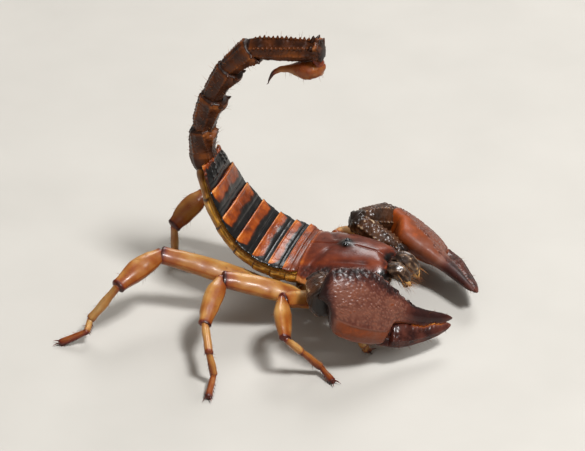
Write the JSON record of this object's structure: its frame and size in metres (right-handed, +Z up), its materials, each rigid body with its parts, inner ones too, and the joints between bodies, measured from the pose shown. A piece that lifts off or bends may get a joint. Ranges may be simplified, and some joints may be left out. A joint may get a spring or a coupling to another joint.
{
  "type": "burrowing desert scorpion",
  "caption": "Life-size model of a burrowing desert scorpion standing with its tail arched over its back and its broad claws held open in front.",
  "frame": {"origin": "on the floor under the middle of the whole animal's bounding box", "axes": "+X the way the head looks, +Y the animal's left, +Z up"},
  "size_m": [0.0498, 0.0448, 0.0396],
  "materials": {
    "reddish_shell": "glossy, finely granular at the sides",
    "dark_shell": "satin, granular and keeled",
    "banded_shell": "glossy orange-brown rear bands over blue-black",
    "hand_shell": "satin, covered in fine granules",
    "amber_shell": "glossy, slightly translucent",
    "soft_belly": "satin, softly folded",
    "eye_black": "wet gloss"
  },
  "bodies": {
    "root": {"arm_left_femur": "dark_shell", "arm_left_finger": "dark_shell", "arm_left_hand": "hand_shell", "arm_left_patella": "dark_shell", "arm_right_femur": "dark_shell", "arm_right_finger": "dark_shell", "arm_right_hand": "hand_shell", "arm_right_patella": "dark_shell", "back_plate_1": "banded_shell", "back_plate_2": "banded_shell", "back_plate_3": "banded_shell", "back_plate_4": "banded_shell", "back_plate_5": "banded_shell", "back_plate_6": "banded_shell", "back_plate_7": "banded_shell", "belly": "soft_belly", "carapace": "reddish_shell", "comb_left": "soft_belly", "comb_right": "soft_belly", "eye_left": "eye_black", "eye_right": "eye_black", "jaw_left": "dark_shell", "jaw_right": "dark_shell", "leg_bases": "soft_belly", "leg_left_1_femur": "amber_shell", "leg_left_1_foot": "amber_shell", "leg_left_1_patella": "amber_shell", "leg_left_2_femur": "amber_shell", "leg_left_2_foot": "amber_shell", "leg_left_2_patella": "amber_shell", "leg_left_3_femur": "amber_shell", "leg_left_3_foot": "amber_shell", "leg_left_3_patella": "amber_shell", "leg_left_4_femur": "amber_shell", "leg_left_4_foot": "amber_shell", "leg_left_4_patella": "amber_shell", "leg_right_1_femur": "amber_shell", "leg_right_1_foot": "amber_shell", "leg_right_1_patella": "amber_shell", "leg_right_2_femur": "amber_shell", "leg_right_2_foot": "amber_shell", "leg_right_2_patella": "amber_shell", "leg_right_3_femur": "amber_shell", "leg_right_3_foot": "amber_shell", "leg_right_3_patella": "amber_shell", "leg_right_4_femur": "amber_shell", "leg_right_4_foot": "amber_shell", "leg_right_4_patella": "amber_shell", "poison_bulb": "amber_shell", "sting": "dark_shell", "tail_1": "dark_shell", "tail_2": "dark_shell", "tail_3": "dark_shell", "tail_4": "dark_shell", "tail_5": "dark_shell"}
  },
  "joints": []
}
